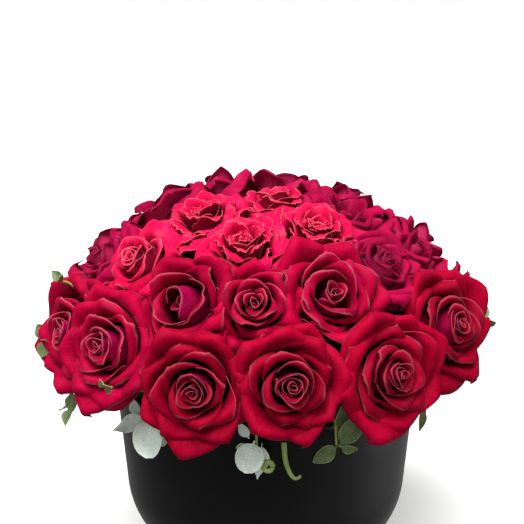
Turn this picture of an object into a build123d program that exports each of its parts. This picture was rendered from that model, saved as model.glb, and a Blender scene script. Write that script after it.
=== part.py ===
"""A round flower box: a black bowl, a drop-in liner with wet foam, and a dome of red roses with greenery.

The frame stands on the table: the origin is the middle of the bowl's flat base, +Z is up, -Y is the
front and +X is the right-hand side. Sizes are in millimetres and angles in degrees. An azimuth is
measured from the front towards the right, and a tilt from upright.
"""

import os
from math import cos, hypot, radians, sin, tan

from build123d import *

# Bowl: slightly flared wall, a large round corner and a flat base.
RIM_RADIUS = 119.0
BOWL_HEIGHT = 141.0
WALL_FLARE = 5.5
BOWL_CORNER = 68.0
BOWL_WALL = 6.0
BOWL_FLOOR = 8.0
RIM_ROUND = 2.6

# Liner: a thin plastic tub that stands on the bowl's floor and lifts out.
LINER_SIDE_GAP = 1.5
LINER_WALL = 1.2
LINER_DROP = 8.0  # how far its edge stays below the bowl's rim
NEST_CORNER = 2.0  # extra corner radius of a nested piece, which clears the curve around it

# Wet foam: fills the liner and rises above the rim with bevelled shoulders.
FOAM_SIDE_GAP = 0.8
FOAM_RISE = 47.0
FOAM_TOP_INSET = 53.0  # from the rim's radius
FOAM_SHOULDER_RISE = 15.0
FOAM_SHOULDER_INSET = 21.0

# Foam anchor: a disc with four prongs, stuck to the liner with a pad of putty.
ANCHOR_RADIUS = 15.0
ANCHOR_DISC = 2.5
PRONG_COUNT = 4
PRONG_CIRCLE = 9.0
PRONG_RADIUS = 1.6
PRONG_TAPER = 2.5
PRONG_HEIGHT = 22.0
PUTTY_THICKNESS = 1.5
ANCHOR_FIT = 0.1

# Tape: two crossed straps over the foam, stuck down on the outside of the liner.
TAPE_WIDTH = 6.0
TAPE_THICKNESS = 0.3
TAPE_LIFT = 0.1
TAPE_TAIL = 14.0
# name: (direction of the strap, offset to its left, layer)
STRAPS = {"tape_strap_lower": (34.0, -11.0, 0), "tape_strap_upper": (118.0, 16.0, 1)}

# Rose: a closed bloom on a hip with five sepals and a cut stem.
BLOOM_HEIGHT = 55.0
BLOOM_CROWN = 7.0  # how far the middle stands above the open lip
BLOOM_THROAT = 5.0
# Points of its outline: share of the bloom's radius, share of its height.
BLOOM_OUTLINE = [(0.62, 0.25), (0.90, 0.56), (1.0, 0.82), (0.74, 0.97)]
BLOOM_GAP = 1.6  # between neighbouring blooms
STEM_RADIUS = 2.5
STEM_FIT = 0.1
HIP_RADIUS = 6.0
HIP_HEIGHT = 11.0
HIP_WIDEST = 3.5  # how far under the bloom
SEPAL_COUNT = 5
SEPAL_LENGTH = 15.0
SEPAL_WIDTH = 7.0
SEPAL_THICKNESS = 0.8
CROWN_STEM = 92.0

# Dome: the lips of the blooms lie on half an ellipsoid that overhangs the rim.
DOME_OVERHANG = 53.0
DOME_RISE = 28.0  # height of its widest level above the rim
DOME_HEIGHT = 128.0

# Each rose: azimuth, tilt, full diameter, turn about the vertical, and how far it stands proud.
ROSES = {
    "outer": [
        (6, 82, 70, 0, 0),
        (32, 81, 72, -4, 0),
        (58, 72, 68, -18, 0),
        (84, 70, 54, -3, 0),
        (110, 80, 64, 0, 0),
        (136, 80, 68, 0, 0),
        (162, 81, 68, 0, 0),
        (188, 80, 68, 0, 0),
        (214, 81, 68, 0, 0),
        (240, 80, 66, 0, 0),
        (265, 79, 62, 5, 0),
        (291, 77, 62, 9, 0),
        (316, 77, 68, 12, 0),
        (341, 84, 70, 4, 0),
    ],
    "middle": [
        (357, 54, 50, 0, 0),
        (20, 51, 60, -3, 0),
        (45, 46, 50, 0, 0),
        (69, 46, 50, 0, 0),
        (99, 49, 56, 0, 0),
        (125, 50, 60, 0, 0),
        (153, 52, 62, 0, 0),
        (181, 52, 62, 0, 0),
        (209, 52, 62, 0, 0),
        (237, 52, 60, 0, 0),
        (263, 52, 54, 0, 0),
        (286, 51, 52, 0, 0),
        (309, 46, 52, 4, 0),
        (334, 55, 60, 2, 0),
    ],
    "inner": [
        (350, 34, 54, 0, 0),
        (27, 28, 56, -4, 0),
        (75, 23, 52, 0, 0),
        (120, 28, 58, 0, 4),
        (166, 25, 56, 0, 9),
        (212, 27, 56, 0, 10),
        (258, 29, 56, 0, 8),
        (313, 23, 58, 8, 0),
    ],
    "crown": [(60, 3, 44, 0, -6)],
}
# How far from the axis the stem tips of a ring end, as a share of the foam's top radius.
STEM_TIPS = {"outer": 0.85, "middle": 0.52, "inner": 0.23}

# Greenery: a sprig leaves the foam above the rim, bends down outside the bowl and ends in thin leaves.
SPRIG_RADIUS = 1.1
SPRIG_DEPTH = 14.0
SPRIG_RISE = 6.0
SPRIG_CLEARANCE = 7.0  # from the rim out to a sprig that hangs against the bowl
SPRIG_BEND = 4.5
LEAF_THICKNESS = 0.7
LEAF_ROOT = 2.0  # how far above the sprig's tip its leaves start
LEAF_WIDEST = 0.45  # share of its length at which a leaf is widest
# name: (azimuth, extra reach, tip's height from the rim, [(roll, length, width) of each leaf])
SPRIGS = {
    "eucalyptus_front_left": (314, 0, -3, [(-54, 36, 12), (9, 28, 24)]),
    "eucalyptus_front": (357, 0, -9, [(-22, 20, 16), (6, 25, 9), (38, 20, 8)]),
    "greens_front_right": (23, 1, -11, [(-38, 15, 9), (140, 24, 13)]),
    "greens_left": (280, 30, -6, [(-20, 14, 9), (10, 20, 9)]),
    "greens_right": (72, 0, -8, [(-30, 22, 10), (24, 24, 11)]),
    "eucalyptus_right": (98, 0, -6, [(-16, 26, 20), (40, 22, 12)]),
    "greens_back_right": (149, 0, -8, [(-30, 22, 11), (28, 20, 10)]),
    "eucalyptus_back": (201, 0, -6, [(-12, 27, 22), (42, 22, 13)]),
    "greens_back_left": (252, 0, -8, [(-32, 22, 11), (24, 24, 11)]),
}

cavity_radius = RIM_RADIUS - BOWL_WALL
liner_inset = LINER_SIDE_GAP + LINER_WALL
foam_inset = liner_inset + FOAM_SIDE_GAP
cavity_corner = BOWL_CORNER - BOWL_WALL
liner_corner = cavity_corner + NEST_CORNER
foam_corner = liner_corner - LINER_WALL + NEST_CORNER
liner_floor = BOWL_FLOOR + LINER_WALL
liner_top = BOWL_HEIGHT - LINER_DROP
foam_shoulder = (RIM_RADIUS - FOAM_SHOULDER_INSET, BOWL_HEIGHT + FOAM_SHOULDER_RISE)
foam_top = (RIM_RADIUS - FOAM_TOP_INSET, BOWL_HEIGHT + FOAM_RISE)
anchor_base = liner_floor + PUTTY_THICKNESS
dome_radius = RIM_RADIUS + DOME_OVERHANG
dome_base = BOWL_HEIGHT + DOME_RISE
lip_height = BLOOM_HEIGHT - BLOOM_CROWN
sprig_level = BOWL_HEIGHT + SPRIG_RISE


def wall_radius(rim_radius, height):
    """Radius at a height of the flared wall that has rim_radius at the rim."""
    return rim_radius - (BOWL_HEIGHT - height) * tan(radians(WALL_FLARE))


def tub_section(rim_radius, floor, corner, upper_points):
    """Half section of a flared tub with a round corner, closed by the upper points."""
    with BuildSketch(Plane.XZ) as section:
        with BuildLine():
            Polyline((0, floor), (wall_radius(rim_radius, floor), floor), *upper_points, close=True)
        make_face()
        fillet(section.vertices().group_by(Axis.Y)[0].sort_by(Axis.X)[-1], corner)
    return section.sketch.face()


def tub_top(rim_radius, top):
    return [(wall_radius(rim_radius, top), top), (0, top)]


def wrap_section(growth):
    """Half section of what the tape is wrapped over, grown by growth."""
    liner_radius = cavity_radius - LINER_SIDE_GAP
    low = liner_top - 2 * TAPE_TAIL
    with BuildSketch(Plane.XZ) as section:
        with BuildLine():
            Polyline(
                (0, low),
                (wall_radius(liner_radius, low), low),
                (wall_radius(liner_radius, liner_top), liner_top),
                foam_shoulder,
                foam_top,
                (0, foam_top[1]),
                close=True,
            )
        make_face()
        offset(amount=growth, kind=Kind.INTERSECTION)
        split(bisect_by=Plane.YZ, keep=Keep.TOP)
    return section.sketch.face()


def direction(azimuth, tilt):
    a, t = radians(azimuth), radians(tilt)
    return Vector(sin(t) * sin(a), -sin(t) * cos(a), cos(t))


def rose_seat(azimuth, tilt, turn, proud):
    """Plane at the bottom of a bloom, whose z direction points out of the bloom's face."""
    spot = direction(azimuth, tilt)
    lip = Vector(dome_radius * spot.X, dome_radius * spot.Y, dome_base + DOME_HEIGHT * spot.Z)
    axis = direction(azimuth + turn, tilt)
    return Plane(origin=lip + axis * (proud - lip_height), z_dir=axis)


def stem_length(seat, ring):
    """Length that ends the stem at its ring's distance from the axis."""
    if ring not in STEM_TIPS:
        return CROWN_STEM
    run = hypot(seat.origin.X, seat.origin.Y) - STEM_TIPS[ring] * foam_top[0]
    return run / hypot(seat.z_dir.X, seat.z_dir.Y)


def cut_stem_holes(stems):
    """Hole of each stem through the part that is being built."""
    for seat, length in stems:
        with Locations(seat.location):
            Cylinder(
                STEM_RADIUS + STEM_FIT,
                length + STEM_FIT,
                align=(Align.CENTER, Align.CENTER, Align.MAX),
                mode=Mode.SUBTRACT,
            )


def make_anchor(growth):
    """The foam anchor, or with some growth the hole that it presses into the foam."""
    with BuildPart() as anchor:
        with BuildSketch(Plane.XY.offset(anchor_base)):
            Circle(ANCHOR_RADIUS + growth)
        extrude(amount=ANCHOR_DISC + growth)
        with BuildSketch(Plane.XY.offset(anchor_base + ANCHOR_DISC)):
            with PolarLocations(PRONG_CIRCLE, PRONG_COUNT, start_angle=180 / PRONG_COUNT):
                Circle(PRONG_RADIUS + growth)
        extrude(amount=PRONG_HEIGHT + growth, taper=PRONG_TAPER)
    return anchor.part


def make_bloom(radius):
    """Closed outer shape of a bloom: a narrow throat, a flared cup and a low crown."""
    with BuildPart() as bloom:
        with BuildSketch(Plane.XZ):
            with BuildLine():
                Spline(
                    (BLOOM_THROAT, 0),
                    *[(share * radius, level * BLOOM_HEIGHT) for share, level in BLOOM_OUTLINE],
                    (0, BLOOM_HEIGHT),
                    tangents=((1, 0.4), (-1, 0)),
                )
                Polyline((0, BLOOM_HEIGHT), (0, 0), (BLOOM_THROAT, 0))
            make_face()
        revolve(axis=Axis.Z)
    return bloom.part


def make_stem(length):
    """A cut stem with its hip and the star of sepals under the bloom."""
    with BuildPart() as stem:
        with BuildSketch(Plane.XZ):
            with BuildLine():
                Spline((STEM_RADIUS, -HIP_HEIGHT), (HIP_RADIUS, -HIP_WIDEST), (BLOOM_THROAT, 0))
                Polyline(
                    (BLOOM_THROAT, 0),
                    (0, 0),
                    (0, -length),
                    (STEM_RADIUS, -length),
                    (STEM_RADIUS, -HIP_HEIGHT),
                )
            make_face()
        revolve(axis=Axis.Z)
        with BuildSketch(Plane.XY.offset(-SEPAL_THICKNESS)):
            with PolarLocations(0, SEPAL_COUNT):
                Polygon((0, -SEPAL_WIDTH / 2), (SEPAL_LENGTH, 0), (0, SEPAL_WIDTH / 2), align=None)
        extrude(amount=SEPAL_THICKNESS)
    return stem.part


def make_sprig(reach, tip_height, leaves):
    """A stem out over the rim and down, with leaves that fan out from its tip, facing outwards."""
    bend = min(SPRIG_BEND, sprig_level - tip_height - SPRIG_RADIUS)
    with BuildPart() as sprig:
        with BuildLine():
            route = FilletPolyline(
                (foam_shoulder[0] - SPRIG_DEPTH, 0, sprig_level),
                (reach, 0, sprig_level),
                (reach, 0, tip_height),
                radius=bend,
            )
        with BuildSketch(Plane(origin=route @ 0, z_dir=route % 0)):
            Circle(SPRIG_RADIUS)
        sweep()
        outwards = Plane(origin=(reach, 0, tip_height), x_dir=(0, 1, 0), z_dir=(1, 0, 0))
        with BuildSketch(outwards):
            for roll, length, width in leaves:
                with BuildLine(mode=Mode.PRIVATE) as blade:
                    ThreePointArc((0, 0), (-width / 2, -LEAF_WIDEST * length), (0, -length))
                    ThreePointArc((0, -length), (width / 2, -LEAF_WIDEST * length), (0, 0))
                with Locations(Location((0, LEAF_ROOT), roll)):
                    add(make_face(blade.edges(), mode=Mode.PRIVATE))
        extrude(amount=LEAF_THICKNESS / 2, both=True)
    return sprig.part


def save(part, name):
    part.label = name
    export_step(part, f"parts/{name}.step")


os.makedirs("parts", exist_ok=True)

# Seats of the roses, the radius that each bloom opens to, and the stems below them.
seats = {
    ring: [rose_seat(azimuth, tilt, turn, proud) for azimuth, tilt, _, turn, proud in rows]
    for ring, rows in ROSES.items()
}
full_radii = {ring: [row[2] / 2 for row in rows] for ring, rows in ROSES.items()}
roses = [rose for ring in ROSES for rose in zip(seats[ring], full_radii[ring])]
stems = {ring: [(seat, stem_length(seat, ring)) for seat in places] for ring, places in seats.items()}
all_stems = [stem for ring in stems.values() for stem in ring]


def open_radius(seat, full):
    """Radius of a bloom that opens fully, or until it meets its nearest neighbour."""
    limits = [full]
    for other, other_full in roses:
        for share, level in BLOOM_OUTLINE:
            here, there = (place.origin + place.z_dir * level * BLOOM_HEIGHT for place in (seat, other))
            apart = (here - there).length
            if apart > 0:
                limits.append((apart - BLOOM_GAP) / share * full / (full + other_full))
    return min(limits)


with BuildPart() as bowl:
    revolve(tub_section(RIM_RADIUS, 0, BOWL_CORNER, tub_top(RIM_RADIUS, BOWL_HEIGHT)), axis=Axis.Z)
    cavity = tub_section(cavity_radius, BOWL_FLOOR, cavity_corner, tub_top(cavity_radius, BOWL_HEIGHT))
    revolve(cavity, axis=Axis.Z, mode=Mode.SUBTRACT)
    fillet(bowl.edges().group_by(Axis.Z)[-1], RIM_ROUND)
save(bowl.part, "bowl")

with BuildPart() as liner:
    outer_rim = cavity_radius - LINER_SIDE_GAP
    inner_rim = cavity_radius - liner_inset
    revolve(
        tub_section(outer_rim, BOWL_FLOOR, liner_corner, tub_top(outer_rim, liner_top)), axis=Axis.Z
    )
    inside = tub_section(inner_rim, liner_floor, liner_corner - LINER_WALL, tub_top(inner_rim, liner_top))
    revolve(inside, axis=Axis.Z, mode=Mode.SUBTRACT)
save(liner.part, "liner")

with BuildPart() as putty:
    with BuildSketch(Plane.XY.offset(liner_floor)):
        Circle(ANCHOR_RADIUS)
    extrude(amount=PUTTY_THICKNESS)
save(putty.part, "anchor_putty")

save(make_anchor(0), "foam_anchor")

with BuildPart() as foam:
    foam_rim = cavity_radius - foam_inset
    upper = [(wall_radius(foam_rim, liner_top), liner_top), foam_shoulder, foam_top, (0, foam_top[1])]
    revolve(tub_section(foam_rim, liner_floor, foam_corner, upper), axis=Axis.Z)
    add(make_anchor(ANCHOR_FIT), mode=Mode.SUBTRACT)
    with BuildSketch(Plane.XY.offset(liner_floor)):
        Circle(ANCHOR_RADIUS + ANCHOR_FIT)
    extrude(amount=PUTTY_THICKNESS, mode=Mode.SUBTRACT)
    cut_stem_holes(all_stems)
    for azimuth, _, _, _ in SPRIGS.values():
        run = Plane(origin=(0, 0, sprig_level), z_dir=direction(azimuth, 90))
        with Locations(run.offset(foam_shoulder[0] - SPRIG_DEPTH - STEM_FIT).location):
            Cylinder(
                SPRIG_RADIUS + STEM_FIT,
                2 * SPRIG_DEPTH,
                align=(Align.CENTER, Align.CENTER, Align.MIN),
                mode=Mode.SUBTRACT,
            )
save(foam.part, "foam")

for name, (angle, offset_left, layer) in STRAPS.items():
    lift = TAPE_LIFT + layer * (TAPE_LIFT + TAPE_THICKNESS)
    along = Plane.XY.offset(liner_top - TAPE_TAIL).rotated((0, 0, angle))
    with BuildPart() as strap:
        revolve(wrap_section(lift + TAPE_THICKNESS), axis=Axis.Z)
        revolve(wrap_section(lift), axis=Axis.Z, mode=Mode.SUBTRACT)
        with Locations(along.location * Location((0, offset_left, 0))):
            Box(
                2 * RIM_RADIUS,
                TAPE_WIDTH,
                BOWL_HEIGHT,
                align=(Align.CENTER, Align.CENTER, Align.MIN),
                mode=Mode.INTERSECT,
            )
        cut_stem_holes(all_stems)
    save(strap.part, name)

for ring, places in stems.items():
    with BuildPart() as ring_stems:
        for seat, length in places:
            with Locations(seat.location):
                add(make_stem(length))
    save(ring_stems.part, f"stems_{ring}")

for ring, places in seats.items():
    for number, (seat, full) in enumerate(zip(places, full_radii[ring]), 1):
        with BuildPart() as bloom:
            with Locations(seat.location):
                add(make_bloom(open_radius(seat, full)))
        save(bloom.part, f"rose_{ring}_{number:02d}")

for name, (azimuth, extra_reach, tip_rise, leaves) in SPRIGS.items():
    reach = RIM_RADIUS + SPRIG_CLEARANCE + extra_reach
    with BuildPart() as sprig:
        with Locations(Rotation(0, 0, azimuth - 90)):
            add(make_sprig(reach, BOWL_HEIGHT + tip_rise, leaves))
    save(sprig.part, name)
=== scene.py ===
"""The looks of a flower box: a satin-black bowl packed with red roses and a little greenery."""

import math
import random

import bpy
import numpy as np
from mathutils import Matrix, Vector


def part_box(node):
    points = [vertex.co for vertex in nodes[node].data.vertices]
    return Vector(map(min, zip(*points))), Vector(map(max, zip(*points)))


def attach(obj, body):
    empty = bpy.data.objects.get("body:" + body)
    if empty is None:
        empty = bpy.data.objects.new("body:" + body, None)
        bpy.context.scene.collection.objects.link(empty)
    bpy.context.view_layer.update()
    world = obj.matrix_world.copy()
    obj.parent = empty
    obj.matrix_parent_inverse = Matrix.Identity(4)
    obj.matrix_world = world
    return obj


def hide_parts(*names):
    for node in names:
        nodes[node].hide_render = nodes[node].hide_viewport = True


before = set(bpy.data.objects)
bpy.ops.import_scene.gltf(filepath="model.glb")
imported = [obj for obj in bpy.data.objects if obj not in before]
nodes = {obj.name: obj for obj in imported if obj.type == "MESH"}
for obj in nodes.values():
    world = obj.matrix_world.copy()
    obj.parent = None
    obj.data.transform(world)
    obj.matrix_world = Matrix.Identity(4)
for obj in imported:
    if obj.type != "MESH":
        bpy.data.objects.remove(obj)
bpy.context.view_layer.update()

# ---------------------------------------------------------------------------------------------
# Camera and light: a small studio with a plain white backdrop. A broad lamp hangs over the
# flowers, a softer one stands in front, and a narrow one at the right lights only the glaze.

MM = 0.001
rim_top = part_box("bowl")[1][2]
view_distance = 0.9
view_height = rim_top + 28 * MM
view_drop = math.radians(16.0)
view_aim = math.radians(11.8)

camera_data = bpy.data.cameras.new("camera")
camera_data.lens = 77.3
camera_data.sensor_width = 36.0
camera = bpy.data.objects.new("camera", camera_data)
bpy.context.scene.collection.objects.link(camera)
camera.location = (
    0,
    -view_distance * math.cos(view_drop),
    view_height + view_distance * math.sin(view_drop),
)
camera.rotation_euler = (math.radians(90) - view_aim, 0, math.radians(0.2))
bpy.context.scene.camera = camera
bpy.context.scene.view_settings.view_transform = "Standard"

# The backdrop is white to the eye and dimmer as a light, so that the black glaze stays black.
sky = bpy.data.worlds.new("studio")
bpy.context.scene.world = sky
sky.use_nodes = True
sky_seen = sky.node_tree.nodes["Background"]
sky_seen.inputs["Color"].default_value = (1, 1, 1, 1)
sky_seen.inputs["Strength"].default_value = 1.0
sky_light = sky.node_tree.nodes.new("ShaderNodeBackground")
sky_light.inputs["Strength"].default_value = 0.34
sky_rays = sky.node_tree.nodes.new("ShaderNodeLightPath")
sky_mix = sky.node_tree.nodes.new("ShaderNodeMixShader")
sky.node_tree.links.new(sky_rays.outputs["Is Camera Ray"], sky_mix.inputs[0])
sky.node_tree.links.new(sky_light.outputs[0], sky_mix.inputs[1])
sky.node_tree.links.new(sky_seen.outputs[0], sky_mix.inputs[2])
sky.node_tree.links.new(sky_mix.outputs[0], sky.node_tree.nodes["World Output"].inputs[0])

key_data = bpy.data.lights.new("key", "SUN")
key_data.energy = 4.8
key_data.angle = math.radians(48)
key = bpy.data.objects.new("key", key_data)
bpy.context.scene.collection.objects.link(key)
key.rotation_euler = Vector((-0.18, -0.46, 1.0)).to_track_quat("Z", "Y").to_euler()


def add_lamp(name, place, aim, width, height, power):
    """A rectangular soft box at a place, turned towards what it lights."""
    data = bpy.data.lights.new(name, "AREA")
    data.shape = "RECTANGLE"
    data.size = width
    data.size_y = height
    data.energy = power
    lamp = bpy.data.objects.new(name, data)
    bpy.context.scene.collection.objects.link(lamp)
    lamp.location = place
    lamp.rotation_euler = (Vector(place) - Vector(aim)).to_track_quat("Z", "Y").to_euler()
    return lamp


fill = add_lamp("front", (0.25, -1.7, 0.55), (0, 0, 0.15), 1.4, 1.0, 6)
fill.visible_glossy = False
strip = add_lamp("strip", (1.2, 0.02, 0.08), (0, 0, 0.05), 0.18, 0.5, 170)
strip.visible_diffuse = False
glazed_ware = bpy.data.collections.new("glazed_ware")
glazed_ware.objects.link(nodes["bowl"])
strip.light_linking.receiver_collection = glazed_ware

# ---------------------------------------------------------------------------------------------
# Table: a plain pale matt top that the bowl stands on. It is not part of the flower box, and
# it throws no light or reflection back at it.


class Value:
    """A result inside a finish. Arithmetic on it adds Math nodes."""

    def __init__(self, finish, socket):
        self.finish = finish
        self.socket = socket

    def math(self, operation, *others):
        """One Math node of this and the other values."""
        values = dict(enumerate((self, *others)))
        return self.finish.node("Math", {"operation": operation}, values)

    def __add__(self, other):
        return self.math("ADD", other)

    __radd__ = __add__

    def __mul__(self, other):
        return self.math("MULTIPLY", other)

    __rmul__ = __mul__

    def __sub__(self, other):
        return self.math("SUBTRACT", other)

    def __rsub__(self, other):
        return self.finish.node("Math", {"operation": "SUBTRACT"}, {0: other, 1: self})

    def between(self, low, high):
        """Rises smoothly from 0 at low to 1 at high."""
        settings = {"interpolation_type": "SMOOTHSTEP"}
        return self.finish.node("MapRange", settings, {"Value": self, "From Min": low, "From Max": high})


class Finish:
    """A material that is built up from nodes around one Principled shader."""

    def __init__(self, name, **constants):
        self.material = bpy.data.materials.new(name)
        self.material.use_nodes = True
        self.tree = self.material.node_tree
        self.shader = self.tree.nodes["Principled BSDF"]
        for socket, value in constants.items():
            self.shader.inputs[socket.replace("_", " ")].default_value = value

    def feed(self, value, socket):
        """Links a result to a socket, or sets a plain value on it."""
        if isinstance(value, Value):
            self.tree.links.new(value.socket, socket)
        else:
            socket.default_value = value

    def node(self, kind, settings, sockets, output=0):
        """Any node: its settings come first, then its sockets."""
        made = self.tree.nodes.new("ShaderNode" + kind)
        for key, value in settings.items():
            setattr(made, key, value)
        for key, value in sockets.items():
            self.feed(value, made.inputs[key])
        return Value(self, made.outputs[output])

    def mix(self, share, first, second):
        """Colour from first to second by share."""
        return self.node("Mix", {"data_type": "RGBA"}, {0: share, 6: first, 7: second}, 2)

    def noise(self, where, scale, detail=2.0):
        return self.node("TexNoise", {}, {"Vector": where, "Scale": scale, "Detail": detail})

    def stretch(self, where, x, y, z):
        return self.node("Mapping", {}, {"Vector": where, "Scale": (x, y, z)})

    def place(self):
        return self.node("TexCoord", {}, {}, "Object")

    def uv(self):
        return self.node("TexCoord", {}, {}, "UV")

    def part(self, where, axis):
        return self.node("SeparateXYZ", {}, {"Vector": where}, axis)

    def show(self, colour=None, roughness=None, height=None, depth=0.0, strength=1.0):
        """Feeds the shader with what varies over the surface."""
        if colour is not None:
            self.feed(colour, self.shader.inputs["Base Color"])
        if roughness is not None:
            self.feed(roughness, self.shader.inputs["Roughness"])
        if height is not None:
            bump = self.node("Bump", {}, {"Height": height, "Distance": depth, "Strength": strength})
            self.feed(bump, self.shader.inputs["Normal"])

bpy.ops.object.select_all(action="DESELECT")
bpy.ops.mesh.primitive_plane_add(size=12, location=(0, 0, 0))
table = bpy.context.object
table.name = "table"
table.visible_diffuse = False
table.visible_glossy = False
table_top = Finish("table_top", Roughness=0.8, Specular_IOR_Level=0.2, Emission_Strength=0.4)
table_top.shader.inputs["Emission Color"].default_value = (1, 1, 0.99, 1)
pale = table_top.noise(table_top.place(), 3.0)
table_top.show(colour=table_top.mix(pale, (0.80, 0.80, 0.79, 1), (0.83, 0.83, 0.82, 1)))
table.data.materials.append(table_top.material)

# ---------------------------------------------------------------------------------------------
# Bowl: thrown stoneware with a satin black glaze, a little uneven as a dipped glaze is, and
# slightly duller at the foot where it was wiped before firing.


def dress(name, finish):
    """Gives a CAD node its finish."""
    slots = nodes[name].data.materials
    slots.clear()
    slots.append(finish.material)


glaze = Finish("black_glaze", Specular_IOR_Level=0.16)
where = glaze.place()
cloud = glaze.noise(where, 24.0, 3.0)
wiped = 1 - glaze.part(where, 2).between(0.0, 0.012)
glaze.show(
    colour=glaze.mix(cloud, (0.0030, 0.0034, 0.0030, 1), (0.0060, 0.0066, 0.0062, 1)),
    roughness=0.25 + 0.07 * cloud + 0.2 * wiped,
    height=glaze.noise(where, 260.0),
    depth=0.0002,
    strength=0.12,
)
dress("bowl", glaze)

# ---------------------------------------------------------------------------------------------
# Liner: a thin watertight tub of dull black plastic, with the fine grain of its mould. It drops
# loose into the bowl, holds the water and lifts out with the foam and the flowers.

liner_plastic = Finish("liner_plastic", Specular_IOR_Level=0.4)
where = liner_plastic.place()
grain = liner_plastic.noise(where, 1400.0)
liner_plastic.show(
    colour=liner_plastic.mix(grain, (0.010, 0.011, 0.010, 1), (0.018, 0.019, 0.018, 1)),
    roughness=0.42 + 0.12 * liner_plastic.noise(where, 40.0),
    height=grain,
    depth=0.0001,
    strength=0.3,
)
dress("liner", liner_plastic)

# ---------------------------------------------------------------------------------------------
# Wet foam: a block of dark green flower foam, full of fine open cells and darker where it is
# soaked. It is cut by hand to fit the liner and stands above the rim to take the lowest stems.

wet_foam = Finish("wet_foam", Specular_IOR_Level=0.25)
where = wet_foam.place()
cells = wet_foam.node("TexVoronoi", {}, {"Vector": where, "Scale": 1500.0})
soaked = wet_foam.noise(where, 30.0, 4.0)
wet_foam.show(
    colour=wet_foam.mix(soaked, (0.010, 0.035, 0.012, 1), (0.040, 0.105, 0.035, 1)),
    roughness=0.95 - 0.35 * soaked,
    height=cells + 0.6 * wet_foam.noise(where, 300.0),
    depth=0.0005,
    strength=0.7,
)
dress("foam", wet_foam)

# ---------------------------------------------------------------------------------------------
# Anchor, putty and tape: a green moulded disc with prongs, stuck to the liner's floor with a pad
# of putty, holds the foam from below. Two crossed straps of waterproof tape hold it from above.

anchor_plastic = Finish("anchor_plastic", Roughness=0.4)
where = anchor_plastic.place()
anchor_plastic.show(
    colour=anchor_plastic.mix(
        anchor_plastic.noise(where, 90.0), (0.02, 0.12, 0.03, 1), (0.03, 0.17, 0.04, 1)
    ),
    height=anchor_plastic.noise(where, 900.0),
    depth=0.0001,
    strength=0.25,
)
dress("foam_anchor", anchor_plastic)

putty = Finish("putty", Roughness=0.7)
where = putty.place()
lumps = putty.noise(where, 160.0, 3.0)
putty.show(
    colour=putty.mix(lumps, (0.02, 0.09, 0.05, 1), (0.04, 0.15, 0.08, 1)),
    height=lumps,
    depth=0.0006,
    strength=0.6,
)
dress("anchor_putty", putty)

florist_tape = Finish("florist_tape", Specular_IOR_Level=0.45)
where = florist_tape.place()
weave = florist_tape.node("TexChecker", {}, {"Vector": where, "Scale": 900.0}, "Fac")
florist_tape.show(
    colour=florist_tape.mix(
        florist_tape.noise(where, 120.0), (0.010, 0.070, 0.020, 1), (0.018, 0.105, 0.032, 1)
    ),
    roughness=0.38 + 0.1 * weave,
    height=weave,
    depth=0.00008,
    strength=0.4,
)
dress("tape_strap_lower", florist_tape)
dress("tape_strap_upper", florist_tape)

# ---------------------------------------------------------------------------------------------
# Stems: fresh rose stems with hips and sepals, green with a reddish flush and fine ribs. They
# are pushed into the foam in rings that fan out, and each carries one bloom.

rose_stem = Finish("rose_stem", Roughness=0.5, Specular_IOR_Level=0.35)
where = rose_stem.place()
flush = rose_stem.noise(where, 55.0, 3.0).between(0.45, 0.7)
ribs = rose_stem.noise(rose_stem.stretch(where, 1.0, 1.0, 0.2), 700.0)
rose_stem.show(
    colour=rose_stem.mix(flush, (0.045, 0.120, 0.022, 1), (0.110, 0.085, 0.030, 1)),
    height=ribs,
    depth=0.0003,
    strength=0.4,
)
for row in ("outer", "middle", "inner", "crown"):
    dress(f"stems_{row}", rose_stem)

# ---------------------------------------------------------------------------------------------
# Roses: fresh velvety red blooms, packed close into a dome. Each grows petal by petal round its
# axis, from a tight heart of rolled petals to a cup and then wide petals whose lips roll back,
# and sits on the hip of its stem.


def petal_finish(name, deep, bright, bloom, rim, back):
    """Velvety petal: painted shade darkens it towards its foot and on the inner petals; it has fine
    veins, powdery bloom and a thin rim, a painted highlight where it is pale.
    """
    faces = []
    for side, (low, high) in {"back": back, "face": (deep, bright)}.items():
        petal = Finish(
            f"{name}_{side}",
            Specular_IOR_Level=0.04 if side == "face" else 0.06,
            Sheen_Weight=0.06 if side == "face" else 0.03,
            Sheen_Roughness=0.4,
            Sheen_Tint=(1.0, 0.12, 0.25, 1),
        )
        uv = petal.uv()
        across = petal.part(uv, 0)
        along = petal.part(uv, 1)
        tone = petal.node("Attribute", {"attribute_name": "tone"}, {}, "Fac")
        ring = petal.node("Attribute", {"attribute_name": "ring"}, {}, "Fac")
        veins = petal.noise(petal.stretch(uv, 34.0, 2.2, 1.0), 2.0, 4.0)
        cloud = petal.noise(petal.place(), 70.0, 3.0)
        patches = cloud.between(0.32, 0.66)
        # Painted shade: darker towards each petal's foot and on the inner petals, where the bloom shades
        # itself; the patches, tone and veins are the petals' own.
        painted_shade_and_tone = along.between(0.35, 1.0) * (0.34 + 0.50 * ring) + patches * 0.30
        painted_shade_and_tone = painted_shade_and_tone + tone * 0.12 + veins * 0.62 - 0.34
        colour = petal.mix(painted_shade_and_tone.math("MINIMUM", 1.0).math("MAXIMUM", 0.0), low, high)
        powder = cloud.between(0.50, 0.74) * along.between(0.55, 1.0) * 0.45
        colour = petal.mix(powder, colour, bloom)
        # Thin rim along the petal's edges: a painted highlight where it is pale, as on all finishes but
        # the magenta; the magenta's dark rim is the petals' own edge colour.
        side_edge = (across * 2.0 - 1.0).math("ABSOLUTE")
        edge = side_edge.math("MAXIMUM", along).between(0.968, 0.994)
        edge = edge * along.between(0.35, 0.7) * (0.35 + 0.65 * petal.noise(petal.place(), 160.0))
        petal.show(
            colour=petal.mix(edge, colour, rim),
            roughness=0.70 - 0.12 * veins,
            height=veins + 0.4 * petal.noise(petal.place(), 420.0),
            depth=0.0007,
            strength=0.5,
        )
        faces.append(petal.material)
    return faces


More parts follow.
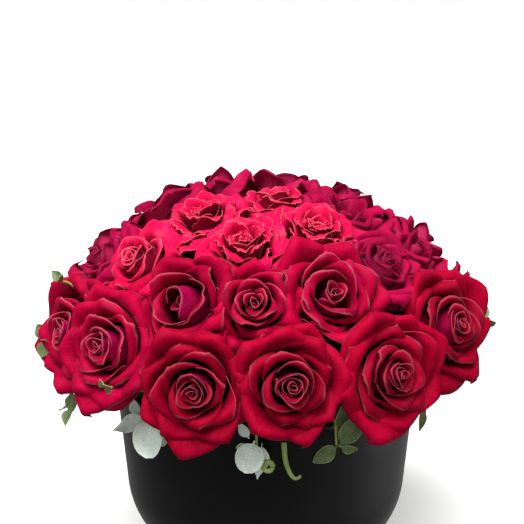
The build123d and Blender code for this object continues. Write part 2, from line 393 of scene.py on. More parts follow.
petal_finishes = {
    "crimson": petal_finish(
        "petals_crimson",
        deep=(0.020, 0.0, 0.001, 1),
        bright=(0.43, 0.0, 0.025, 1),
        bloom=(0.22, 0.012, 0.035, 1),
        rim=(0.40, 0.06, 0.09, 1),
        back=((0.08, 0.0, 0.012, 1), (0.40, 0.002, 0.050, 1)),
    ),
    # The top roses' finish: a lighter copy of the crimson, painted light for the strong light from above
    # and through their petals.
    "crimson_painted_lit": petal_finish(
        "petals_scarlet",
        deep=(0.34, 0.002, 0.030, 1),
        bright=(0.88, 0.005, 0.084, 1),
        bloom=(0.82, 0.09, 0.16, 1),
        rim=(0.84, 0.13, 0.19, 1),
        back=((0.12, 0.002, 0.02, 1), (0.42, 0.012, 0.06, 1)),
    ),
    "ruby": petal_finish(
        "petals_ruby",
        deep=(0.085, 0.0, 0.008, 1),
        bright=(0.50, 0.0, 0.040, 1),
        bloom=(0.34, 0.02, 0.06, 1),
        rim=(0.50, 0.09, 0.13, 1),
        back=((0.12, 0.0, 0.020, 1), (0.52, 0.002, 0.085, 1)),
    ),
    # Magenta: the petals' own hue, made lighter as a painted glow of light through the petals; its dark
    # rim is the petals' own edge colour.
    "magenta": petal_finish(
        "petals_magenta",
        deep=(0.12, 0.0, 0.016, 1),
        bright=(0.48, 0.003, 0.064, 1),
        bloom=(0.38, 0.04, 0.10, 1),
        rim=(0.09, 0.008, 0.018, 1),
        back=((0.16, 0.002, 0.03, 1), (0.62, 0.022, 0.12, 1)),
    ),
}


def blend(first, last, share):
    """From first to last by share."""
    return first + (last - first) * share


def ease(share):
    """A share of 0 to 1 that starts and ends softly."""
    share = np.clip(share, 0, 1)
    return share * share * (3 - 2 * share)


# Petal layers of each kind of bloom. Every pair is the value of a layer's first and last petal,
# in millimetres and degrees: length and width, foot and cup are distances from the axis, and wall
# and lip are the lean of the petal from upright in the cup and at its lip. Heel and bend are the
# shares of the length where the cup starts and where the lip leans out. Fold is the slant of the
# two lines over which the lip rolls back, fold_at where they meet, and roll their radius.
HEART = dict(
    length=(40, 44), width=(12, 36), foot=(0.6, 1.8), cup=(1.8, 9.0), wall=(-1, -4), heel=(0.45, 0.45),
    lip=(-4, 18), bend=(0.82, 0.80), bow=(1.5, 1.5), wrap=(1, 1), spiral=(0.12, 0.12), fold=(20, 20),
    fold_at=(0.99, 0.965), roll=(1.2, 1.6), roll_max=(1.4, 1.6), round=(0.10, 0.14), taper=(0.03, 0.05),
    point=(0.02, 0.02), ruffle=(0.005, 0.008), wave=(0.15, 0.3), vary=(0.02, 0.02),
)
CUP = dict(
    length=(46, 48), width=(34, 46), foot=(1.8, 2.4), cup=(10.5, 20), wall=(-3, 2), heel=(0.45, 0.48),
    lip=(28, 60), bend=(0.68, 0.62), bow=(1.4, 1.4), wrap=(1, 1), spiral=(0.12, 0.12), fold=(22, 26),
    fold_at=(0.95, 0.92), roll=(2.2, 3.4), roll_max=(1.9, 2.3), round=(0.16, 0.20), taper=(0.06, 0.12),
    point=(0.02, 0.03), ruffle=(0.008, 0.012), wave=(0.4, 0.7), vary=(0.03, 0.03),
)
RIM = dict(
    length=(50, 54), width=(48, 54), foot=(2.4, 3.0), cup=(20.5, 23.5), wall=(4, 12), heel=(0.48, 0.48),
    lip=(76, 112), bend=(0.58, 0.50), bow=(1.25, 1.25), wrap=(1.05, 1.4), spiral=(0.08, 0.08),
    fold=(24, 28), fold_at=(0.90, 0.88), roll=(3.8, 4.8), roll_max=(2.6, 2.8), round=(0.20, 0.22),
    taper=(0.14, 0.16), point=(0.04, 0.05), ruffle=(0.012, 0.015), wave=(0.9, 1.3), vary=(0.04, 0.04),
)
# Kinds of bloom: for each layer its petals' number, the turn between them and what differs.
KINDS = {
    "classic": [
        (9, 128, HEART, {"cup": (1.8, 10)}),
        (8, 137.5, CUP, {"cup": (12.5, 20), "width": (36, 50), "lip": (24, 56), "fold": (24, 30)}),
        (9, 137.5, RIM, {"width": (54, 60), "length": (51, 57), "lip": (64, 98), "point": (0.07, 0.10),
                         "fold": (28, 34), "roll": (2.6, 3.4), "roll_max": (2.2, 2.5)}),
    ],
    "cupped": [
        (5, 128, HEART, {"cup": (2.2, 7.0), "length": (36, 38), "width": (14, 34)}),
        (7, 137.5, CUP, {"cup": (12.5, 19), "lip": (8, 34), "width": (38, 50), "wave": (0.8, 1.2)}),
        (7, 137.5, RIM, {"cup": (20, 24), "lip": (38, 84), "fold": (30, 38), "point": (0.07, 0.08)}),
    ],
    "upright": [
        (6, 128, HEART, {"cup": (2.0, 8.0)}),
        (7, 137.5, CUP, {"cup": (10, 17), "lip": (4, 26), "fold": (28, 34), "width": (36, 46)}),
        (6, 137.5, RIM, {"cup": (18, 22), "wall": (4, 16), "lip": (26, 70), "length": (46, 48),
                         "fold": (32, 40), "roll": (2.4, 3.2), "point": (0.07, 0.09)}),
    ],
    "open": [
        (3, 140, HEART, {"cup": (2.4, 6.5), "length": (31, 34), "width": (16, 30)}),
        (5, 137.5, CUP, {"cup": (13, 20), "lip": (14, 50), "wave": (1.8, 2.6), "width": (42, 54)}),
        (7, 137.5, RIM, {"lip": (52, 92), "fold": (28, 36), "wave": (1.4, 2.0)}),
    ],
    "folded": [
        (3, 140, HEART, {"cup": (2.4, 5.5), "length": (31, 34), "width": (16, 28)}),
        (1, 60, CUP, {"cup": (13, 13), "lip": (-46, -46), "width": (46, 46), "bend": (0.5, 0.5),
                      "roll_max": (0.8, 0.8)}),
        (5, 137.5, CUP, {"cup": (15, 20), "lip": (10, 50), "wave": (1.6, 2.4), "width": (42, 54)}),
        (7, 137.5, RIM, {"lip": (52, 92), "fold": (28, 36), "wave": (1.4, 2.0)}),
    ],
    "ruffled": [
        (6, 137.5, HEART, {"cup": (2.0, 8.0), "length": (37, 41), "lip": (6, 40), "width": (14, 24),
                           "ruffle": (0.04, 0.05), "wave": (0.9, 1.3)}),
        (15, 137.5, CUP, {"cup": (8, 20), "lip": (34, 74), "width": (24, 38), "ruffle": (0.035, 0.045),
                          "wave": (1.2, 1.7), "roll": (3, 5), "bend": (0.6, 0.55)}),
        (10, 137.5, RIM, {"lip": (76, 96), "width": (40, 48), "ruffle": (0.035, 0.04), "wave": (1.4, 1.8),
                          "roll": (5, 7)}),
    ],
    "side": [
        (4, 128, HEART, {"cup": (2.2, 6.5)}),
        (5, 137.5, CUP, {"cup": (11, 18), "lip": (6, 30), "width": (40, 54), "fold": (30, 38),
                         "point": (0.06, 0.08), "wave": (1.0, 1.5)}),
        (7, 137.5, RIM, {"cup": (20, 23), "lip": (26, 84), "width": (54, 62), "fold": (34, 42),
                         "point": (0.10, 0.12), "roll": (2.2, 3.0), "roll_max": (2.0, 2.5),
                         "wave": (1.3, 2.0)}),
    ],
}


def grow_layer(dice, count, step, layer, changes, turn):
    """Petals of one layer, each turned on from the last and a little different from it."""
    petals = []
    for number in range(count):
        share = number / max(1, count - 1)
        petal = {key: blend(*pair, share) for key, pair in {**layer, **changes}.items()}
        turn += step + dice.uniform(-12, 12)
        petal["turn"] = turn
        petal["length"] *= 1 + dice.uniform(-1, 1) * petal["vary"]
        petal["width"] *= 1 + dice.uniform(-1, 1) * petal["vary"]
        petal["fold"] += dice.uniform(-7, 7)
        petal["fold_at"] += dice.uniform(-0.03, 0.03)
        petal["skew"] = dice.uniform(-0.05, 0.05)
        petal["lip"] += dice.uniform(-7, 7)
        petal["roll"] *= dice.uniform(0.8, 1.25)
        petal["tone"] = dice.uniform(-1, 1)
        petal["lip_waves"] = [
            (petal["ruffle"] * dice.uniform(-1, 1), 1.7, dice.uniform(0, 6)),
            (petal["ruffle"] * dice.uniform(-0.7, 0.7), 4.1, dice.uniform(0, 6)),
            (petal["ruffle"] * 0.4, 7.3, dice.uniform(0, 6)),
        ]
        petal["face_waves"] = [
            (petal["wave"], 4.2, 4.0, dice.uniform(0, 6)),
            (petal["wave"] * 0.4, 9.9, 8.8, dice.uniform(0, 6)),
            (petal["wave"] * 0.14, 17.0, 5.0, dice.uniform(0, 6)),
        ]
        petals.append(petal)
    return petals, turn


def shape_petal(across, along, petal):
    """Points of a petal, in millimetres round the bloom's axis. across is -1 to 1, along 0 to 1."""
    length = petal["length"]
    # Flat outline: narrow foot, widest past the middle, rounded lip.
    outline = 0.22 + 0.78 * np.sin(np.pi / 2 * np.clip(along / 0.62, 0, 1)) ** 1.15
    outline = outline * (1 - petal["taper"] * ease((along - 0.6) / 0.4))
    x = across * petal["width"] / 2 * outline
    lip = 1 - petal["round"] * np.abs(across) ** 2.2 + petal["point"] * (1 - np.abs(across)) ** 3
    for size, count, start in petal["lip_waves"]:
        lip = lip + size * np.sin(count * across * np.pi + start)
    y = length * along * (1 + along**2 * (lip - 1))
    # The lip rolls back over two slanting lines that meet on the petal's middle line.
    stand = np.zeros_like(x)
    for side in (1, -1):
        slant = math.radians(petal["fold"])
        step_x = side * math.sin(slant)
        step_y = math.cos(slant)
        past = x * step_x + (y - (petal["fold_at"] + side * petal["skew"]) * length) * step_y
        roll = petal["roll"]
        angle = np.clip(past / roll, 0, petal["roll_max"])
        rest = np.maximum(past - petal["roll_max"] * roll, 0)
        move = roll * np.sin(angle) + rest * np.cos(angle) - np.maximum(past, 0)
        x = x + step_x * move
        y = y + step_y * move
        stand = stand + roll * (1 - np.cos(angle)) + rest * np.sin(angle)
    for size, over_x, over_y, start in petal["face_waves"]:
        stand = stand + size * np.sin(over_x * across + over_y * along + start) * along**1.5
    # Upright profile: out from the foot to the cup, up the wall and over at the lip.
    reach = np.linspace(0, 1.25, 240)
    spread = min(0.95, max(0.0, (petal["cup"] - petal["foot"]) / (petal["heel"] * length)))
    base = 2 * math.degrees(math.asin(spread)) - petal["wall"]
    lean = blend(base, petal["wall"], ease(reach / petal["heel"]))
    over = np.clip((reach - petal["bend"]) / (1 - petal["bend"]), 0, 1.15)
    lean = np.radians(lean + (petal["lip"] - petal["wall"]) * over ** petal["bow"])
    step = (reach[1] - reach[0]) * length
    out = petal["foot"] + np.concatenate([[0], np.cumsum(np.sin(lean))[:-1]]) * step
    up = np.concatenate([[0], np.cumsum(np.cos(lean))[:-1]]) * step
    at = np.clip(y / length, 0, 1.25)
    radius, height, lean = (np.interp(at, reach, line) for line in (out, up, lean))
    # Wrapped round the axis, one side of each petal inside the next.
    curve = np.maximum(radius * petal["wrap"], 1.4)
    radial = radius - curve + curve * np.cos(x / curve) + petal["spiral"] * x + stand * np.cos(lean)
    sideways = curve * np.sin(x / curve)
    height = height - stand * np.sin(lean)
    turn = math.radians(petal["turn"])
    return np.stack(
        [
            radial * math.cos(turn) - sideways * math.sin(turn),
            radial * math.sin(turn) + sideways * math.cos(turn),
            height,
        ],
        axis=-1,
    )


def bloom_seat(node):
    """Where a CAD bloom sits: the middle of its flat throat, the way it faces and its radius."""
    mesh = nodes[node].data
    count = len(mesh.polygons)
    normals = np.zeros(count * 3)
    centres = np.zeros(count * 3)
    areas = np.zeros(count)
    mesh.polygons.foreach_get("normal", normals)
    mesh.polygons.foreach_get("center", centres)
    mesh.polygons.foreach_get("area", areas)
    normals = normals.reshape(-1, 3)
    centres = centres.reshape(-1, 3)
    keys, groups = np.unique(normals.round(2), axis=0, return_inverse=True)
    flat = keys[np.bincount(groups.ravel(), weights=areas).argmax()]
    throat = normals @ flat > 0.998 * np.linalg.norm(flat)
    foot = Vector(np.average(centres[throat], axis=0, weights=areas[throat]))
    axis = -Vector(np.average(normals[throat], axis=0, weights=areas[throat])).normalized()
    points = np.zeros(len(mesh.vertices) * 3)
    mesh.vertices.foreach_get("co", points)
    points = points.reshape(-1, 3) - np.array(foot)
    aside = points - np.outer(points @ np.array(axis), np.array(axis))
    return foot, axis, np.linalg.norm(aside, axis=1).max()


PETAL_COLUMNS = 17
PETAL_ROWS = 20
PETAL_THICKNESS = 0.42 * MM
# A bloom is grown about this wide and high, in millimetres, then scaled to its seat.
GROWN_RADIUS = 29.0
GROWN_HEIGHT = 43.0
BLOOM_HEIGHT = 53.0 * MM


def grow_bloom(node, kind, finish, size, spin, lean, seed):
    """A whole bloom in place of its CAD solid: petals from one flat blank, joined and thickened."""
    dice = random.Random(seed)
    petals = []
    turn = spin
    for count, step, layer, changes in KINDS[kind]:
        grown, turn = grow_layer(dice, count, step, layer, changes, turn)
        petals += grown
    # ring runs from 0 at the heart to 1 at the outermost petal; the petal finish uses it to paint shade
    # on the inner petals.
    for number, petal in enumerate(petals):
        petal["ring"] = number / (len(petals) - 1)
    foot, axis, radius = bloom_seat(node)
    axis = Matrix.Rotation(math.radians(lean[0]), 3, "Z") @ axis
    level = Vector((-axis.y, axis.x, 0)).normalized()
    axis = Matrix.Rotation(math.radians(lean[1]), 3, level) @ axis
    wide = size * radius / GROWN_RADIUS
    tall = BLOOM_HEIGHT / GROWN_HEIGHT
    sideways = Vector((0, 0, 1)).cross(axis)
    if sideways.length < 0.1:
        sideways = Vector((1, 0, 0))
    sideways.normalize()
    turned = Matrix((sideways, axis.cross(sideways), axis)).transposed()
    bpy.ops.object.select_all(action="DESELECT")
    bpy.ops.mesh.primitive_grid_add(
        x_subdivisions=PETAL_COLUMNS - 1, y_subdivisions=PETAL_ROWS - 1, size=2, calc_uvs=True
    )
    blank = bpy.context.object
    flat = np.zeros(len(blank.data.vertices) * 3)
    blank.data.vertices.foreach_get("co", flat)
    across = flat[0::3]
    along = (flat[1::3] + 1) / 2
    pieces = []
    for petal in petals:
        points = shape_petal(across, along, petal) * np.array([wide, wide, tall])
        points = points @ np.array(turned).T + np.array(foot)
        piece = blank.copy()
        piece.data = blank.data.copy()
        piece.data.vertices.foreach_set("co", points.ravel())
        tone = piece.data.attributes.new("tone", "FLOAT", "POINT")
        tone.data.foreach_set("value", np.full(len(across), petal["tone"]))
        ring = piece.data.attributes.new("ring", "FLOAT", "POINT")
        ring.data.foreach_set("value", np.full(len(across), petal["ring"]))
        bpy.context.scene.collection.objects.link(piece)
        pieces.append(piece)
    bpy.data.objects.remove(blank)
    bpy.ops.object.select_all(action="DESELECT")
    for piece in pieces:
        piece.select_set(True)
    bloom = pieces[0]
    bpy.context.view_layer.objects.active = bloom
    bpy.ops.object.join()
    bloom.name = node.replace("rose", "bloom")
    for material in petal_finishes[finish]:
        bloom.data.materials.append(material)
    wall = bloom.modifiers.new("thickness", "SOLIDIFY")
    wall.thickness = PETAL_THICKNESS
    wall.offset = 0
    wall.material_offset = 1
    bpy.ops.object.modifier_apply(modifier="thickness")
    bpy.ops.object.shade_smooth()
    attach(bloom, "arrangement")
    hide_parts(node)


# Each rose: kind, finish, size, the turn of its first petal, and how far it leans aside and down.
ROSES = {
    "outer_01": ("classic", "crimson", 0.96, 200, (0, -2)),
    "outer_02": ("classic", "crimson", 1.02, 100, (2, 0)),
    "outer_03": ("classic", "crimson", 1.14, 120, (3, 0)),
    "outer_04": ("side", "magenta", 1.2, 0, (0, 0)),
    "outer_05": ("side", "magenta", 1.06, 40, (0, 0)),
    "outer_06": ("side", "magenta", 1.12, 80, (0, 0)),
    "outer_07": ("classic", "magenta", 1.12, 120, (0, 0)),
    "outer_08": ("side", "crimson", 1.12, 160, (0, 0)),
    "outer_09": ("classic", "magenta", 1.12, 200, (0, 0)),
    "outer_10": ("side", "magenta", 1.12, 240, (0, 0)),
    "outer_11": ("side", "magenta", 1.16, 280, (0, 0)),
    "outer_12": ("classic", "ruby", 1.22, 320, (10, 0)),
    "outer_13": ("classic", "ruby", 1.08, 0, (-2, -5)),
    "outer_14": ("classic", "crimson", 1.0, 60, (9, 0)),
    "middle_01": ("upright", "ruby", 1.24, 10, (0, 7)),
    "middle_02": ("cupped", "ruby", 1.18, 60, (2, 7)),
    "middle_03": ("classic", "magenta", 1.16, 30, (0, 0)),
    "middle_04": ("side", "magenta", 1.14, 160, (0, 0)),
    "middle_05": ("side", "magenta", 1.12, 210, (0, 0)),
    "middle_06": ("cupped", "magenta", 1.12, 260, (0, 0)),
    "middle_07": ("side", "magenta", 1.12, 310, (0, 0)),
    "middle_08": ("open", "magenta", 1.12, 0, (0, 0)),
    "middle_09": ("side", "magenta", 1.12, 50, (0, 0)),
    "middle_10": ("cupped", "magenta", 1.12, 100, (0, 0)),
    "middle_11": ("side", "magenta", 1.12, 150, (0, 0)),
    "middle_12": ("classic", "magenta", 1.10, 200, (0, 0)),
    "middle_13": ("classic", "crimson_painted_lit", 1.2, 250, (0, 2)),
    "middle_14": ("folded", "ruby", 1.16, 300, (0, 5)),
    "inner_01": ("ruffled", "crimson_painted_lit", 1.0, 0, (0, 0)),
    "inner_02": ("ruffled", "crimson_painted_lit", 1.1, 50, (0, 0)),
    "inner_03": ("open", "magenta", 1.16, 100, (0, 0)),
    "inner_04": ("side", "magenta", 1.12, 150, (0, 0)),
    "inner_05": ("open", "magenta", 1.14, 200, (0, 0)),
    "inner_06": ("side", "magenta", 1.12, 250, (0, 0)),
    "inner_07": ("open", "magenta", 1.16, 300, (0, 0)),
    "inner_08": ("ruffled", "crimson_painted_lit", 1.1, 350, (0, 0)),
    "crown_01": ("ruffled", "crimson_painted_lit", 1.35, 40, (0, 0)),
}
for seed, (name, (kind, finish, size, spin, lean)) in enumerate(ROSES.items()):
    grow_bloom(f"rose_{name}", kind, finish, size, spin, lean, seed)

# ---------------------------------------------------------------------------------------------
# Greenery: sprigs of powdery silver eucalyptus and of a glossy green leaf, pushed into the foam
# below the roses. Their stems run out over the rim and bend down, and thin leaves hang from them.


def leaf_finish(name, low, high, powder, rim, roughness, shine):
    """Leaf skin: mottled, with a midrib and side veins, a powdery bloom and a paler margin."""
    leaf = Finish(name, Specular_IOR_Level=shine)
    uv = leaf.uv()
    across = leaf.part(uv, 0)
    along = leaf.part(uv, 1)
    place = leaf.place()
    tone = leaf.node("Attribute", {"attribute_name": "tone"}, {}, "Fac")
    mottle = leaf.noise(place, 130.0, 4.0)
    speckle = leaf.noise(place, 1100.0, 2.0).between(0.42, 0.62)
    middle = (across * 2.0 - 1.0).math("ABSOLUTE")
    midrib = 1 - middle.between(0.015, 0.07)
    slant = (along * 15.0 - middle * 6.0).math("SINE").between(0.86, 1.0)
    slant = slant * (1 - middle.between(0.7, 1.0))
    colour = leaf.mix(mottle.between(0.3, 0.7), low, high)
    colour = leaf.mix(speckle * (0.25 + 0.55 * tone), colour, powder)
    colour = leaf.mix(midrib * 0.35 + slant * 0.10, colour, rim)
    margin = middle.math("MAXIMUM", (along * 2.0 - 1.0).math("ABSOLUTE")).between(0.90, 0.985)
    leaf.show(
        colour=leaf.mix(margin * 0.75, colour, rim),
        roughness=roughness + 0.15 * speckle,
        height=mottle - 0.7 * midrib - 0.3 * slant,
        depth=0.0003,
        strength=0.5,
    )
    return leaf.material


def shoot_finish(name, low, high):
    """Young stem: smooth and waxy, with a little colour change along it."""
    shoot = Finish(name, Specular_IOR_Level=0.35)
    mottle = shoot.noise(shoot.place(), 160.0, 3.0)
    shoot.show(
        colour=shoot.mix(mottle, low, high),
        roughness=0.4 + 0.15 * mottle,
        height=mottle,
        depth=0.0002,
    )
    return shoot.material


greenery_finishes = {
    # Eucalyptus: pale silver green with a white powder, all made lighter than the leaf's own colour as
    # painted light, to make up for the roses' shade over the leaves.
    "eucalyptus_leaf": (
        leaf_finish(
            "eucalyptus_leaf",
            low=(0.56, 0.74, 0.56, 1),
            high=(0.74, 0.90, 0.76, 1),
            powder=(0.96, 1.0, 0.99, 1),
            rim=(0.95, 1.0, 0.86, 1),
            roughness=0.62,
            shine=0.25,
        ),
        shoot_finish("eucalyptus_stem", (0.20, 0.30, 0.07, 1), (0.46, 0.56, 0.18, 1)),
    ),
    "green_leaf": (
        leaf_finish(
            "green_leaf",
            low=(0.055, 0.100, 0.018, 1),
            high=(0.135, 0.190, 0.060, 1),
            powder=(0.22, 0.30, 0.14, 1),
            rim=(0.36, 0.44, 0.18, 1),
            roughness=0.38,
            shine=0.4,
        ),
        shoot_finish("green_stem", (0.22, 0.32, 0.04, 1), (0.55, 0.62, 0.10, 1)),
    ),
}


def shape_leaf(across, along, kind, length, width, curl):
    """Points of a leaf blade lying flat, in millimetres: a short stalk, then the blade."""
    blade = np.clip((along - 0.10) / 0.90, 0, 1)
    if kind == "round":
        half = np.sqrt(np.clip(1 - (2 * blade**0.92 - 1) ** 2, 0, 1))
    elif kind == "oval":
        half = np.sin(np.pi * blade**0.85) ** 0.75
    else:
        half = np.sin(np.pi * blade**0.72) ** 0.9 * (1 - blade**4) ** 0.5
    half = np.maximum(half * width / 2, 0.55 * (1 - ease((blade - 0.9) / 0.1)))
    x = across * half
    y = along * length
    rise = curl * (x / max(width, 1)) ** 2 * 1.6 + 0.035 * length * np.sin(5 * along + across * 1.5)
    return np.stack([x, y, rise - 0.10 * curl * along**2], axis=-1)


LEAF_COLUMNS = 13
LEAF_ROWS = 21
LEAF_THICKNESS = 0.5 * MM
up = Vector((0, 0, 1))


def add_leaf(base, outward, kind, roll, lean, twist, length, width, curl, tone):
    """One thin leaf. Roll 0 hangs straight down; lean tips it away from the bowl."""
    bpy.ops.object.select_all(action="DESELECT")
    bpy.ops.mesh.primitive_grid_add(
        x_subdivisions=LEAF_COLUMNS - 1, y_subdivisions=LEAF_ROWS - 1, size=2, calc_uvs=True
    )
    leaf = bpy.context.object
    flat = np.zeros(len(leaf.data.vertices) * 3)
    leaf.data.vertices.foreach_get("co", flat)
    across = flat[0::3]
    along = (flat[1::3] + 1) / 2
    points = shape_leaf(across, along, kind, length, width, curl) * MM
    sideways = up.cross(outward)
    roll, lean, twist = (math.radians(angle) for angle in (roll, lean, twist))
    hang = (sideways * math.sin(roll) - up * math.cos(roll)) * math.cos(lean)
    hang = (hang + outward * math.sin(lean)).normalized()
    face = (outward - hang * outward.dot(hang)).normalized()
    face = Matrix.Rotation(twist, 3, hang) @ face
    turned = np.array((hang.cross(face), hang, face))
    leaf.data.vertices.foreach_set("co", (points @ turned + np.array(base)).ravel())
    mark = leaf.data.attributes.new("tone", "FLOAT", "POINT")
    mark.data.foreach_set("value", np.full(len(across), tone))
    wall = leaf.modifiers.new("thickness", "SOLIDIFY")
    wall.thickness = LEAF_THICKNESS
    wall.offset = 0
    bpy.ops.object.modifier_apply(modifier="thickness")
    return leaf


def add_shoot(points, thick, thin):
    """A stem along a smooth line, thinner towards its tip, with closed flat ends."""
    bpy.ops.object.select_all(action="DESELECT")
    line = bpy.data.curves.new("shoot", "CURVE")
    line.dimensions = "3D"
    line.bevel_depth = 1.0
    line.bevel_resolution = 3
    line.use_fill_caps = True
    spline = line.splines.new("NURBS")
    spline.points.add(len(points) - 1)
    for number, (point, place) in enumerate(zip(points, spline.points)):
        place.co = (*point, 1)
        place.radius = blend(thick, thin, number / (len(points) - 1)) * MM
    spline.order_u = 3
    spline.use_endpoint_u = True
    spline.resolution_u = 8
    shoot = bpy.data.objects.new("shoot", line)
    bpy.context.scene.collection.objects.link(shoot)
    shoot.select_set(True)
    bpy.context.view_layer.objects.active = shoot
    bpy.ops.object.convert(target="MESH")
    return bpy.context.object


def finish_sprig(name, slot, leaves, shoots):
    """Joins a sprig's leaves and stems into one piece."""
    leaf_material, shoot_material = greenery_finishes[slot]
    for leaf in leaves:
        leaf.data.materials.append(leaf_material)
    for shoot in shoots:
        shoot.data.materials.clear()
        shoot.data.materials.append(shoot_material)
    bpy.ops.object.select_all(action="DESELECT")
    for piece in leaves + shoots:
        piece.select_set(True)
    sprig = leaves[0]
    bpy.context.view_layer.objects.active = sprig
    bpy.ops.object.join()
    sprig.name = name
    bpy.ops.object.shade_smooth_by_angle(angle=math.radians(50))
    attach(sprig, "arrangement")
    return sprig


def sprig_run(node):
    """Inner end of a CAD sprig's stem, its outward direction and how far out it hangs."""
    mesh = nodes[node].data
    points = np.zeros(len(mesh.vertices) * 3)
    mesh.vertices.foreach_get("co", points)
    points = points.reshape(-1, 3)
    inner = points[np.hypot(points[:, 0], points[:, 1]).argmin()]
    start = Vector((inner[0], inner[1], inner[2]))
    outward = Vector((inner[0], inner[1], 0)).normalized()
    return start, outward, (points @ np.array(outward)).max()


# Leaves of each sprig: kind, place (sideways, out and up from where its stem crosses the rim),
# roll, lean, twist, length, width, curl and powder; all in millimetres and degrees.
SPRIG_LEAVES = {
    "eucalyptus_front_left": [
        ("pointed", (11, 4, 2), -62, 16, 8, 35, 13, 5, 1.0),
        ("round", (20, 5, 4), 4, 20, -6, 29, 31, 6, 1.0),
        ("oval", (-4, 0, -3), -160, 8, 10, 14, 10, 3, 0.9),
        ("round", (7, -3, -4), 60, 6, 10, 22, 20, 5, 0.8),
    ],
    "eucalyptus_front": [
        ("round", (-1, 4, -4), -16, 20, 8, 23, 20, 6, 0.8),
        ("pointed", (4, 1, -7), -6, 14, -25, 25, 12, 7, 0.50),
        ("oval", (-5, 0, -4), -150, 12, 0, 14, 7, 3, 0.75),
        ("oval", (-6, 1, -9), -80, 10, 0, 8, 6, 2, 0.5),
    ],
    "greens_front_right": [
        ("oval", (1, 3, -12), 150, 14, -14, 29, 16, 6, 0.5),
        ("oval", (1, 2, -12), -68, 6, 16, 22, 11, 5, 0.3),
        ("oval", (2, 3, -12), 72, 16, 30, 13, 9, 5, 0.3),
        ("round", (4, -2, -9), 158, 2, 4, 36, 25, 8, 0.0),
    ],
    "greens_left": [
        ("oval", (2, -2, -2), 20, 6, -66, 16, 11, 5, 0.4),
        ("pointed", (1, 2, -14), -60, 30, 50, 14, 9, 4, 0.6),
        ("pointed", (3, 1, -15), 50, 14, -60, 16, 10, 4, 0.6),
        ("oval", (2, 0, -4), -140, 30, 60, 15, 10, 4, 0.3),
    ],
    "greens_right": [
        ("oval", (0, 0, -6), -30, 8, 10, 23, 12, 6, 0.3),
        ("oval", (0, 0, -7), 26, 4, -10, 25, 13, 6, 0.2),
        ("pointed", (1, 1, -4), 80, 14, 10, 18, 9, 5, 0.4),
    ],
    "eucalyptus_right": [
        ("round", (0, 0, -4), -16, 6, 8, 28, 23, 6, 0.8),
        ("pointed", (2, 1, 2), 66, 4, -12, 22, 12, 5, 0.6),
        ("round", (-2, 0, -2), -80, 12, 10, 20, 16, 5, 0.7),
    ],
    "greens_back_right": [
        ("oval", (0, 0, -6), -32, 8, 12, 24, 13, 6, 0.3),
        ("oval", (1, 0, -6), 28, 4, -10, 22, 12, 6, 0.2),
        ("pointed", (0, 1, -4), -90, 14, 10, 18, 9, 5, 0.4),
    ],
    "eucalyptus_back": [
        ("round", (0, 0, -4), -12, 6, -8, 30, 25, 6, 0.9),
        ("pointed", (2, 1, -4), 44, 4, 12, 28, 14, 5, 0.6),
        ("round", (-2, 0, -2), -70, 12, 10, 21, 17, 5, 0.7),
    ],
    "greens_back_left": [
        ("oval", (0, 0, -6), -34, 8, 10, 24, 13, 6, 0.3),
        ("oval", (0, 0, -6), 24, 4, -10, 25, 13, 6, 0.2),
        ("pointed", (1, 1, -4), 84, 14, 10, 18, 9, 5, 0.4),
    ],
}
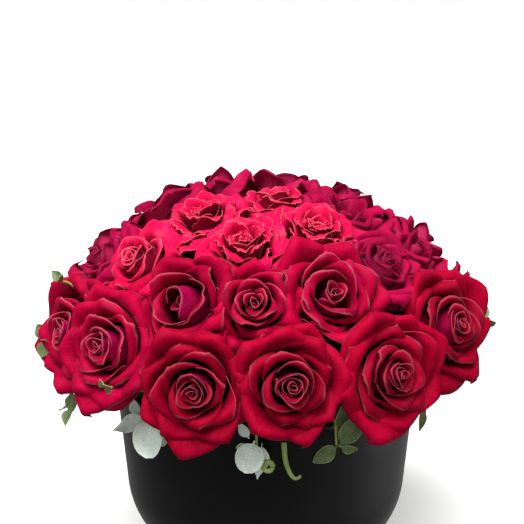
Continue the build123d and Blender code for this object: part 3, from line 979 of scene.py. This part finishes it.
for node, rows in SPRIG_LEAVES.items():
    start, outward, reach = sprig_run(node)
    sideways = up.cross(outward)
    crossing = outward * (reach - 2 * MM) + up * rim_top
    leaves = []
    lowest = 0
    for kind, (aside, out, rise), roll, lean, twist, length, width, curl, powder in rows:
        base = crossing + (sideways * aside + outward * out + up * rise) * MM
        leaves.append(add_leaf(base, outward, kind, roll, lean, twist, length, width, curl, powder))
        lowest = min(lowest, rise)
    path = [
        start,
        start + outward * 18 * MM,
        crossing - outward * 9 * MM + up * 6 * MM,
        crossing + up * 5.5 * MM,
        crossing + up * lowest * 0.5 * MM,
        crossing + up * lowest * MM + sideways * 0.5 * MM,
    ]
    shoots = [add_shoot(path, thick=1.3, thin=0.8)]
    # The middle sprig also has a bare hooked tip and a cut side shoot curled into a ring.
    if node == "eucalyptus_front":
        hook = [(19, -4, -8), (19.5, -1, -16), (21, 0, -23), (24, 1, -30), (28, 2, -33), (31, 2, -30)]
        hook = [crossing + (sideways * a + outward * b + up * c) * MM for a, b, c in hook]
        shoots.append(add_shoot(hook, thick=2.1, thin=1.1))
        ring = []
        ring_radius = 3.2
        for step in range(11):
            turn = math.radians(36 * step)
            across = 8.5 + ring_radius * math.cos(turn)
            ring.append((across, 5.0 + 0.15 * step, -22 + ring_radius * math.sin(turn)))
        ring = [crossing + (sideways * a + outward * b + up * c) * MM for a, b, c in ring]
        shoots.append(add_shoot(ring, thick=2.1, thin=1.7))
    slot = "green_leaf" if node.startswith("greens") else "eucalyptus_leaf"
    sprig = finish_sprig(f"sprig_{node}", slot, leaves, shoots)
    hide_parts(node)

# ---------------------------------------------------------------------------------------------
# Shoots: short leafy ends of the same green, pushed into the foam between the outer roses so
# that only their last leaves come out.

# Bearing, distance from the middle, height above the rim, and the leaves at the tip: kind, roll,
# lean, twist, length and width; in millimetres and degrees.
SHOOTS = [
    (282, 171, 42, [("oval", 200, 30, 70, 14, 11), ("oval", 20, 20, -70, 14, 11),
                    ("oval", 100, 10, 60, 10, 8)]),
    (290, 160, 92, [("pointed", 230, 30, 50, 13, 8), ("pointed", 130, 20, -50, 9, 7)]),
    (72, 169, 62, [("oval", 60, 30, 60, 17, 11), ("oval", 150, 10, -60, 13, 9)]),
    (319, 168, 33, [("pointed", 112, 30, 10, 25, 8), ("pointed", 190, 30, 10, 8, 5)]),
    (14, 146, 52, [("oval", 190, 30, 0, 17, 9)]),
    (180, 166, 58, [("oval", 60, 30, 0, 18, 11), ("oval", 170, 10, 0, 16, 10)]),
    (226, 166, 40, [("pointed", 110, 40, 20, 22, 10), ("oval", 220, 30, 0, 16, 10)]),
    (120, 166, 48, [("oval", 60, 30, 0, 18, 11), ("pointed", 170, 10, 0, 18, 10)]),
]
for number, (bearing, distance, height, rows) in enumerate(SHOOTS, 1):
    angle = math.radians(bearing)
    outward = Vector((math.sin(angle), -math.cos(angle), 0))
    tip = outward * distance * MM + up * (rim_top + height * MM)
    root = outward * 88 * MM + up * (rim_top + 18 * MM)
    path = [root, root.lerp(tip, 0.5) - up * 6 * MM, tip - outward * 8 * MM, tip]
    leaves = [
        add_leaf(tip, outward, kind, roll, lean, twist, length, width, curl=4, tone=0.3)
        for kind, roll, lean, twist, length, width in rows
    ]
    shoot = add_shoot(path, thick=1.2, thin=0.8)
    finish_sprig(f"shoot_{number}", "green_leaf", leaves, [shoot])
